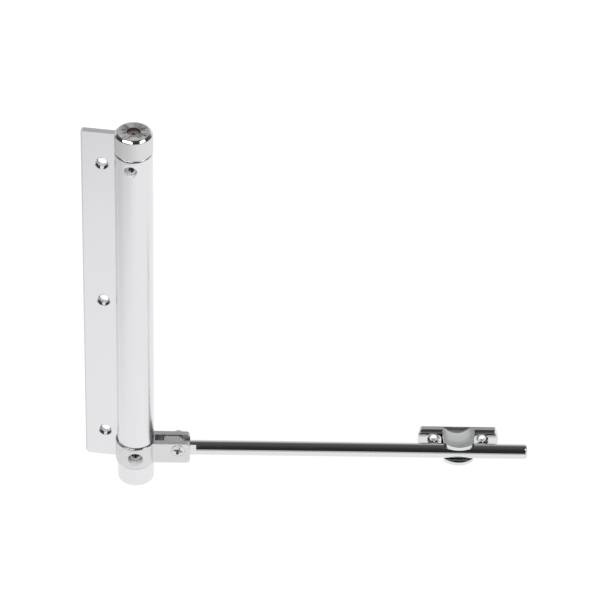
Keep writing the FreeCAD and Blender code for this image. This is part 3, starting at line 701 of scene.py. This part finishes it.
class CLOSER_OT_caps(bpy.types.Operator):
    """Finish the tension cap, the brown spindle end in it, and the bottom cap"""

    bl_idname = "closer.caps"
    bl_label = "Caps"

    # The cap's recess, the narrower mouth above it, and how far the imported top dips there.
    recess = 9.0 * MM
    mouth = 7.4 * MM
    dip = 1.5 * MM
    # How far the top still dips at the mouth, and how far down the mouth's bright edge goes above the painted
    # shade of the recess wall.
    dish = 0.02 * MM
    lip = 0.15 * MM
    # The polished rim of the cap.
    rim_wide = 1.1 * MM
    rim_tall = 1.35 * MM
    # The dimple in the spindle's end, which gets painted shade.
    dimple = 2.0 * MM

    def flatten(self, bm):
        """Keep the top of the cap almost flat, up to the narrower mouth of the recess."""
        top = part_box("tension_cap")[1].z
        for vert in bm.verts:
            off = vert.co - SWING
            reach = math.hypot(off.x, off.y)
            if reach < self.recess / 2 + NEAR and vert.co.z > top - self.dip:
                part = self.mouth / 2 / reach
                vert.co = Vector((SWING.x + off.x * part, SWING.y + off.y * part, top - self.dish))

    def turned_cap(self, finishes):
        """Turning rings on the top, a polished rim, a satin side and painted shade on the recess wall."""
        low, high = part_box("tension_cap")
        cap = Finish("turned_cap", finishes.cap, 1.0, 0.3)
        radius = cap.radius(TUBE_AXIS)
        rings = cap.add("TexNoise", noise_dimensions="1D")
        rings.inputs["Scale"].default_value = 5200.0
        rings.inputs["Detail"].default_value = 2.0
        cap.join(radius, rings.inputs["W"])
        rim_foot = high.z - self.rim_tall
        rim_start = (high.x - low.x) / 2 - self.rim_wide
        top = cap.span(cap.height(), 0.0, 1.0, rim_foot - LOOSE, rim_foot + LOOSE)
        rim = cap.span(radius, 0.0, 1.0, rim_start - LOOSE, rim_start + LOOSE)
        satin = cap.math("MULTIPLY", cap.math("SUBTRACT", 1.0, top), 0.14)
        polish = cap.math("MULTIPLY", cap.both(top, rim), 0.16)
        face = cap.span(rings.outputs["Fac"], 0.20, 0.30)
        cap.rough_from(cap.math("SUBTRACT", cap.math("ADD", face, satin), polish))
        cap.bump(cap.both(rings.outputs["Fac"], top), 0.004 * MM, 0.5)
        inside = cap.below(radius, self.recess / 2 + LOOSE)
        # Painted shade: the recess wall below the lip is coloured dark and dull.
        recess_shade = cap.both(inside, cap.below(cap.height(), high.z - self.lip))
        cap.gloss_where(recess_shade, 0.5, 0.9)
        cap.colour_where(recess_shade, finishes.recess)
        return cap

    def execute(self, context):
        finishes = context.scene.closer_finishes
        softened("tension_cap", self.turned_cap(finishes), finishes.edge, before=self.flatten)
        brown = worn("spindle_end", finishes.bronze, 0.85, (0.35, 0.55), 900.0, (0.7, 1.25))
        # Painted shade: the dimple at the centre of the spindle's end is coloured dark red.
        brown.colour_where(brown.below(brown.radius(TUBE_AXIS), self.dimple / 2), finishes.dimple_shade)
        give("adjuster_spindle", brown)
        softened("bottom_cap", aluminium(finishes, "bottom_cap_aluminium"), finishes.edge)
        return {"FINISHED"}


class CLOSER_OT_lever(bpy.types.Operator):
    """Finish the lever collar with its clevis ears"""

    bl_idname = "closer.lever"
    bl_label = "Lever"

    # The hole of the set screw, and the collar with its upper bevel.
    thread = 8.2 * MM
    collar = 22.0 * MM
    bevel = 0.8 * MM
    # How far the bevel is carried up, and how far in for each part of that.
    lift = 0.15 * MM
    inward = 2.0

    def close_up(self, bm):
        """Carry the collar's upper bevel up to the tube."""
        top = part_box("lever_collar")[1].z
        for vert in bm.verts:
            off = vert.co - SWING
            reach = math.hypot(off.x, off.y)
            if vert.co.z > top - NEAR and reach > self.collar / 2 - self.bevel - NEAR:
                vert.co.x -= off.x / reach * self.inward * self.lift
                vert.co.y -= off.y / reach * self.inward * self.lift
                vert.co.z += self.lift

    def execute(self, context):
        finishes = context.scene.closer_finishes
        base = finishes.satin_rough
        satin = worn(
            "satin_chrome", finishes.satin_chrome, 1.0, (base - 0.06, base + 0.06), 420.0, (0.97, 1.02)
        )
        satin.bump(satin.noise((240.0, 240.0, 240.0), 2.0), 0.03 * MM, 0.35)
        satin.dull_where(satin.within(GRUB, -ACROSS, self.thread / 2), finishes.thread)
        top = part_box("lever_collar")[1].z
        ledge = satin.above(satin.height(), top - self.bevel)
        on_collar = satin.below(satin.radius(TUBE_AXIS), self.collar / 2)
        satin.gloss_where(satin.both(ledge, on_collar), 0.2)
        softened("lever_collar", satin, finishes.edge * 0.6, sharp=CRISP, before=self.close_up)
        return {"FINISHED"}


class CLOSER_OT_fasteners(bpy.types.Operator):
    """Finish the pivot screw, washers, nut and the two socket set screws"""

    bl_idname = "closer.fasteners"
    bl_label = "Fasteners"

    # Half of the fork, and the pivot screw, nut and washer on it.
    fork_half = 5.7 * MM
    head = 7.7 * MM
    head_rise = 0.3 * MM
    shank = 3.5 * MM
    screw_long = 15.0 * MM
    recess = 5.5 * MM
    nut_width = 6.0 * MM
    nut_thick = 2.4 * MM
    nut_play = 0.03 * MM
    washer_thick = 0.5 * MM
    # The sockets of the set screws, and how much of their width is dark on each side of the axis.
    lock_socket = 3.0 * MM
    grub_socket = 4.0 * MM
    dark_part = 0.52

    def stand_in(self, node, bm, offset, finish):
        """Put a new form on the pivot's axis in place of a packed one."""
        bm.transform(along_pivot(offset))
        piece = made_object(bm, node + "_form", finish.material)
        shade(piece, 30.0)
        settle(piece, node)

    def execute(self, context):
        finishes = context.scene.closer_finishes
        plated = worn("zinc_plating", finishes.plated, 1.0, (0.12, 0.3), 1500.0, (0.92, 1.03))
        for node in ("pivot_washer", "thrust_washer"):
            give(node, plated)
        shank = self.shank / 2
        screw = countersunk_screw(self.head / 2, self.head_rise, shank, self.screw_long, self.recess)
        self.stand_in("pivot_screw", screw, -self.fork_half - self.head_rise, plated)
        nut = hexagon_nut(self.nut_width, self.nut_thick, shank + self.nut_play)
        self.stand_in("pivot_nut", nut, self.fork_half + self.washer_thick, plated)
        for node, centre, way, socket in (
            ("tension_lock_screw", LOCK, FRONT, self.lock_socket),
            ("collar_set_screw", GRUB, -ACROSS, self.grub_socket),
        ):
            steel = worn(node + "_steel", finishes.screw_steel, 0.3, (0.4, 0.55), 1500.0, (0.85, 1.15))
            off, _ = steel.off_line(centre, way)
            steel.colour_where(steel.below(off, socket * self.dark_part), finishes.shadow)
            softened(node, steel, finishes.edge * 0.5)
        return {"FINISHED"}


class CLOSER_OT_rod(bpy.types.Operator):
    """Finish the push rod"""

    bl_idname = "closer.rod"
    bl_label = "Push rod"

    radius = 4.1 * MM
    end_round = 1.5 * MM
    round_steps = 5

    def round_end(self, bm):
        """Round the free end of the rod."""
        height = sum(v.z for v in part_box("guide_bracket")) / 2
        spine = Vector((SWING.x, SWING.y, height))
        end = max(v.co.dot(ARM) for v in bm.verts)
        for i in range(1, self.round_steps + 1):
            bmesh.ops.bisect_plane(
                bm,
                geom=bm.verts[:] + bm.edges[:] + bm.faces[:],
                plane_co=ARM * (end - self.end_round * i / self.round_steps),
                plane_no=ARM,
                dist=WELD,
            )
        for vert in bm.verts:
            ahead = 1.0 - (end - vert.co.dot(ARM)) / self.end_round
            if ahead < 0:
                continue
            foot = spine + ARM * (vert.co - spine).dot(ARM)
            limit = self.radius - self.end_round * (1.0 - math.sqrt(1.0 - min(1.0, ahead) ** 2))
            off = vert.co - foot
            if off.length > limit:
                vert.co = foot + off * (limit / off.length)

    def execute(self, context):
        finishes = context.scene.closer_finishes
        plating = chrome(finishes, "rod_chrome", (25.0, 120.0, 120.0), 0.02 * MM)
        softened("push_rod", plating, finishes.edge, before=self.round_end)
        return {"FINISHED"}


class CLOSER_OT_guide(bpy.types.Operator):
    """Finish the guide bracket and its roller"""

    bl_idname = "closer.guide"
    bl_label = "Guide"

    # The lug's depth from the wall, half of its width, and half of the plate's height.
    depth = 18.4 * MM
    half_width = 8.4 * MM
    half_height = 6.0 * MM
    # The hollow in the lug's top: how deep it is, and how far out from the wall it gets there, in the
    # middle and at the sides.
    sink = 0.7 * MM
    steep = 5.0 * MM
    steep_side = 0.8 * MM
    side_fade = 0.6
    # The plate's thickness, the flat middle of its front, the radius that it swells by, and the depths
    # between which the swelling fades.
    thick = 3.9 * MM
    flat_half = 1.4 * MM
    swell = 20.0 * MM
    fade_from = 1.0 * MM
    fade_to = 3.4 * MM
    # The spacing of the cuts that let the faces bend.
    grid = 0.4 * MM

    def slice_at(self, bm, faces, spot, way):
        """Cut some faces along a plane."""
        edges = {e for f in faces for e in f.edges}
        verts = {v for f in faces for v in f.verts}
        bmesh.ops.bisect_plane(
            bm, geom=[*verts, *edges, *faces], plane_co=spot, plane_no=way, dist=WELD
        )

    def level_faces(self, bm, way, place):
        """The faces that face a way and lie at a place along it."""
        return [
            f
            for f in bm.faces
            if f.normal.dot(way) > FACING and abs(f.calc_center_median().dot(way) - place) < NEAR
        ]

    def shape(self, bm):
        """Press a shallow hollow into the top of the lug, and give the plate a softly swelled front."""
        low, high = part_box("guide_bracket")
        centre = (low + high) / 2
        back = max(v.co.dot(ACROSS) for v in bm.verts)
        front = back - self.thick
        middle = centre.dot(ARM)
        side_cuts = round(self.half_width / self.grid)
        for i in range(1 - side_cuts, side_cuts):
            self.slice_at(bm, self.level_faces(bm, UP, high.z), ARM * (middle + i * self.grid), ARM)
        for i in range(1, round(self.depth / self.grid)):
            self.slice_at(bm, self.level_faces(bm, UP, high.z), ACROSS * (back - i * self.grid), ACROSS)
        pressed = {v for f in self.level_faces(bm, UP, high.z) for v in f.verts}
        front_cuts = round(self.half_height / self.grid)
        for i in range(1 - front_cuts, front_cuts):
            self.slice_at(bm, self.level_faces(bm, -ACROSS, -front), UP * (centre.z + i * self.grid), UP)
        for vert in pressed:
            side = min(1.0, abs(vert.co.dot(ARM) - middle) / self.half_width)
            inward = back - vert.co.dot(ACROSS)
            steep = max(self.steep * (1.0 - side * side), self.steep_side)
            level = max(0.0, min(1.0, (self.depth - inward) / (self.depth - steep)))
            fade = smooth((1.0 - side) / self.side_fade)
            vert.co.z -= self.sink * smooth(inward / steep) * level**3 * fade
        for vert in bm.verts:
            inset = vert.co.dot(ACROSS) - front
            if -NEAR < inset < self.fade_to:
                rise = max(0.0, abs(vert.co.z - centre.z) - self.flat_half)
                fade = min(1.0, (self.fade_to - inset) / (self.fade_to - self.fade_from))
                vert.co += ACROSS * (rise * rise / (2 * self.swell) * fade)

    def execute(self, context):
        finishes = context.scene.closer_finishes
        plating = chrome(finishes, "guide_chrome", (150.0, 150.0, 150.0), 0.12 * MM)
        softened("guide_bracket", plating, finishes.edge, segments=3, after=self.shape)
        nylon = worn("nylon", finishes.nylon, 0.0, (0.38, 0.55), 900.0, (0.94, 1.03))
        nylon.plug("Subsurface Weight").default_value = 0.15
        nylon.plug("Subsurface Scale").default_value = 1.0 * MM
        give("guide_roller", nylon)
        return {"FINISHED"}


class CLOSER_OT_inside(bpy.types.Operator):
    """Finish the spring, bushes, spindle, pin and clip, which the other pieces mostly hide"""

    bl_idname = "closer.inside"
    bl_label = "Inside"

    # The heights that the spring's coils run between.
    coil_top = 73.3 * MM
    coil_low = -58.4 * MM

    def twisting_spring(self, finish):
        """A smooth-shaded copy of the spring in place of the imported one."""
        spring = made_object(merged_copy("torsion_spring"), "torsion_spring_form", finish.material)
        shade(spring)
        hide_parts("torsion_spring")
        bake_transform(spring)

    def execute(self, context):
        finishes = context.scene.closer_finishes
        self.twisting_spring(worn("spring_wire", finishes.spring, 1.0, (0.3, 0.5), 700.0, (0.8, 1.2)))
        steel = worn("machined_steel", finishes.steel, 1.0, (0.25, 0.42), 1200.0, (0.9, 1.08))
        for node in ("lever_spindle", "spindle_circlip", "roller_pin"):
            give(node, steel)
        give("upper_bush", worn("bush_zinc", finishes.thread, 0.3, (0.42, 0.58), 1200.0, (0.94, 1.04)))
        give("lower_bush", worn("bush_brass", finishes.brass, 1.0, (0.25, 0.45), 1200.0, (0.9, 1.06)))
        return {"FINISHED"}


class StageWiring(Wiring):
    """The wiring of a stage material that starts with its output alone."""

    def __init__(self, name):
        material = bpy.data.materials.new(name)
        material.use_nodes = True
        material.node_tree.nodes.clear()
        super().__init__(material)
        self.surface = self.add("OutputMaterial").inputs["Surface"]

    def along(self, way):
        """How far a point lies along a direction, in metres."""
        coords = self.add("TexCoord")
        node = self.add("VectorMath", operation="DOT_PRODUCT")
        self.join(coords.outputs["Object"], node.inputs[0])
        node.inputs[1].default_value = way
        return node.outputs["Value"]


def floor_material():
    """White to the camera and to reflections, dimmer far off on the left, with the closer's shadow."""
    glow_part = 0.94
    fall_start, fall_end = 0.30, 1.0
    near_level, far_level = 1.06, 0.53
    bend_start, bend = 0.5, 1.3
    wire = StageWiring("white_floor")
    paths = wire.add("LightPath")
    seen = wire.math("ADD", paths.outputs["Is Camera Ray"], paths.outputs["Is Glossy Ray"])
    seen = wire.math("ADD", seen, paths.outputs["Is Transmission Ray"])
    glowing = wire.math("MINIMUM", wire.math("MULTIPLY", seen, glow_part), glow_part)
    nearer = wire.math("MAXIMUM", wire.math("SUBTRACT", wire.along(FRONT), bend_start), 0.0)
    leftward = wire.math("ADD", wire.along(-RIGHT), wire.math("MULTIPLY", nearer, bend))
    level = wire.span(
        leftward, near_level, far_level, fall_start, fall_end, interpolation_type="SMOOTHSTEP"
    )
    matte = wire.add("BsdfDiffuse")
    matte.inputs["Color"].default_value = (0.9, 0.9, 0.9, 1)
    white = wire.add("Emission")
    wire.join(level, white.inputs["Strength"])
    mix = wire.add("MixShader")
    wire.join(glowing, mix.inputs[0])
    wire.join(matte.outputs[0], mix.inputs[1])
    wire.join(white.outputs[0], mix.inputs[2])
    wire.join(mix.outputs[0], wire.surface)
    return wire.material


def card_material():
    """Plain white light."""
    wire = StageWiring("white_card")
    wire.join(wire.add("Emission").outputs[0], wire.surface)
    return wire.material


# Brightness of the room over the closer, from the front horizon (0) over the top (90) to the back (180).
ROOM = (
    (0.5, 0.90),
    (3.0, 0.03),
    (36.0, 0.03),
    (59.0, 0.05),
    (75.0, 0.075),
    (92.0, 0.10),
    (110.0, 0.10),
    (130.0, 0.22),
    (140.0, 0.38),
    (145.0, 0.63),
    (155.0, 0.70),
    (168.0, 0.84),
    (180.0, 1.0),
)


def room_material(azimuth):
    """Dark ceiling that brightens to a white backdrop behind the closer."""
    side_pull = 0.45
    wire = StageWiring("studio_room")
    ahead = wire.along((math.sin(azimuth), -math.cos(azimuth), 0))
    beside = wire.along((math.cos(azimuth), math.sin(azimuth), 0))
    forward = wire.math("ADD", ahead, wire.math("MULTIPLY", wire.math("ABSOLUTE", beside), side_pull))
    angle = wire.math("ARCTAN2", wire.along(UP), forward)
    ramp = wire.add("ValToRGB")
    wire.join(wire.math("DIVIDE", angle, math.pi), ramp.inputs[0])
    stops = ramp.color_ramp.elements
    while len(stops) < len(ROOM):
        stops.new(0.5)
    for stop, (degrees, level) in zip(stops, ROOM):
        stop.position = degrees / 180.0
        stop.color = (level, level, level, 1)
    glow = wire.add("Emission")
    wire.join(ramp.outputs["Color"], glow.inputs["Color"])
    wire.join(glow.outputs[0], wire.surface)
    return wire.material


def stage_object(name, bm, material):
    """A piece of the studio."""
    item = made_object(bm, name, material)
    item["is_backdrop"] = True
    return item


class CLOSER_OT_stage(bpy.types.Operator):
    """Set up the floor, the room, the softboxes and the camera"""

    bl_idname = "closer.stage"
    bl_label = "Stage"

    # The floor's and the room's radius, and the height where the room starts, in metres.
    floor_radius = 20.0
    room_radius = 4.0
    room_start = 0.02
    # The white card beside the rod's end: its distance, height and width.
    card_away = 1.15
    card_tall = 0.64
    card_wide = 1.6
    # The lamps' distance, and the height on the tube's axis that they face.
    lamp_reach = 1.1
    lamp_aim = 0.1
    # Each softbox: name, bearing from the camera's side and height in degrees, width, tallness and shift.
    softboxes = (
        ("softbox_left", -33.0, 51.0, (0.98, 0.25, -0.14)),
        ("softbox_right", 66.0, 45.0, (0.54, 0.24, 0.0)),
    )
    fill_light = ("fill", 0.0, 55.0, (1.2, 1.2, 0.0))
    # The camera's sensor in millimetres, and how far it sees in metres.
    sensor = 36.0
    sight = 100.0

    def execute(self, context):
        scene = context.scene
        stage = scene.closer_stage
        self.floor(stage)
        self.room(stage)
        self.card()
        self.world(scene)
        for lamp in self.softboxes:
            self.softbox(scene, stage, *lamp, stage.lamp)
        fill = self.softbox(scene, stage, *self.fill_light, stage.fill)
        fill.visible_glossy = False
        self.camera(scene, stage)
        scene.view_settings.view_transform = "Standard"
        return {"FINISHED"}

    def floor(self, stage):
        """A wide round floor below the closer."""
        low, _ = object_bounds()
        bm = bmesh.new()
        bmesh.ops.create_circle(bm, cap_ends=True, segments=64, radius=self.floor_radius)
        bmesh.ops.translate(bm, verts=bm.verts, vec=(0, 0, low.z - stage.floor_drop))
        stage_object("floor", bm, floor_material())

    def room(self, stage):
        """A dome around the closer that lights it and that polished metal shows."""
        bm = bmesh.new()
        bmesh.ops.create_uvsphere(bm, u_segments=96, v_segments=48, radius=self.room_radius)
        bmesh.ops.bisect_plane(
            bm,
            geom=bm.verts[:] + bm.edges[:] + bm.faces[:],
            plane_co=UP * self.room_start,
            plane_no=-UP,
            clear_outer=True,
        )
        bmesh.ops.reverse_faces(bm, faces=bm.faces)
        room = stage_object("room", bm, room_material(stage.azimuth))
        room.visible_camera = False

    def card(self):
        """A white card on the right that only reflections see."""
        bm = bmesh.new()
        bmesh.ops.create_grid(bm, x_segments=1, y_segments=1, size=0.5)
        upright = Matrix.Rotation(math.radians(90), 4, "Y")
        spread = Matrix.Diagonal((self.card_tall, self.card_wide, 1.0, 1.0))
        bm.transform(Matrix.Translation(RIGHT * self.card_away) @ upright @ spread)
        card = stage_object("white_card", bm, card_material())
        card.visible_camera = False
        card.visible_diffuse = False

    def world(self, scene):
        """Plain white all round."""
        world = bpy.data.worlds.new("white_room")
        world.use_nodes = True
        sky = world.node_tree.nodes["Background"]
        sky.inputs["Color"].default_value = (1, 1, 1, 1)
        sky.inputs["Strength"].default_value = 1.0
        scene.world = world

    def softbox(self, scene, stage, name, bearing, height, panel, radiance):
        """A soft lamp at a bearing from the camera's side and a height above the horizon."""
        wide, tall, aside = panel
        way = stage.azimuth + math.radians(bearing)
        up = math.radians(height)
        out = Vector((math.sin(way) * math.cos(up), -math.cos(way) * math.cos(up), math.sin(up)))
        lamp = bpy.data.lights.new(name, "AREA")
        lamp.shape = "RECTANGLE"
        lamp.size = wide
        lamp.size_y = tall
        lamp.energy = radiance * math.pi * wide * tall
        item = bpy.data.objects.new(name, lamp)
        spot = Matrix.Translation(Vector((SWING.x, SWING.y, self.lamp_aim)) + out * self.lamp_reach)
        facing = out.to_track_quat("Z", "Y").to_matrix().to_4x4()
        item.matrix_world = spot @ facing @ Matrix.Translation((aside, 0, 0))
        item.visible_camera = False
        scene.collection.objects.link(item)
        return item

    def camera(self, scene, stage):
        """The photograph's view of the closer."""
        a, e, r = stage.azimuth, stage.elevation, stage.roll
        back = Vector((math.sin(a) * math.cos(e), -math.cos(a) * math.cos(e), math.sin(e)))
        right = Vector((math.cos(a), math.sin(a), 0))
        up = back.cross(right)
        leaning_right = right * math.cos(r) + up * math.sin(r)
        leaning_up = up * math.cos(r) - right * math.sin(r)
        aim = Vector(TUBE_AXIS)
        spot = aim + back * stage.distance + right * stage.aim_right + up * stage.aim_up
        lens = bpy.data.cameras.new("camera")
        lens.sensor_width = self.sensor
        lens.lens = stage.lens
        lens.clip_end = self.sight
        item = bpy.data.objects.new("camera", lens)
        pose = Matrix((leaning_right, leaning_up, back)).transposed().to_4x4()
        item.matrix_world = Matrix.Translation(spot) @ pose
        scene.collection.objects.link(item)
        scene.camera = item


class CLOSER_PT_sidebar(bpy.types.Panel):
    """Lists the closer's finishes and its operators"""

    bl_label = "Door closer"
    bl_idname = "CLOSER_PT_sidebar"
    bl_space_type = "VIEW_3D"
    bl_region_type = "UI"
    bl_category = "Closer"

    def draw(self, context):
        layout = self.layout
        for operator in OPERATORS:
            layout.operator(operator.bl_idname)
        for group in (context.scene.closer_finishes, context.scene.closer_stage):
            box = layout.box()
            for name in group.__annotations__:
                box.prop(group, name)


OPERATORS = (
    CLOSER_OT_housing,
    CLOSER_OT_caps,
    CLOSER_OT_lever,
    CLOSER_OT_fasteners,
    CLOSER_OT_rod,
    CLOSER_OT_guide,
    CLOSER_OT_inside,
    CLOSER_OT_stage,
)
CLASSES = (CloserFinishes, CloserStage, *OPERATORS, CLOSER_PT_sidebar)


def register():
    for cls in CLASSES:
        bpy.utils.register_class(cls)
    bpy.types.Scene.closer_finishes = PointerProperty(type=CloserFinishes)
    bpy.types.Scene.closer_stage = PointerProperty(type=CloserStage)


def unregister():
    del bpy.types.Scene.closer_stage
    del bpy.types.Scene.closer_finishes
    for cls in reversed(CLASSES):
        bpy.utils.unregister_class(cls)


def main():
    register()
    for operator in OPERATORS:
        family, name = operator.bl_idname.split(".")
        getattr(getattr(bpy.ops, family), name)()


if __name__ == "__main__":
    main()
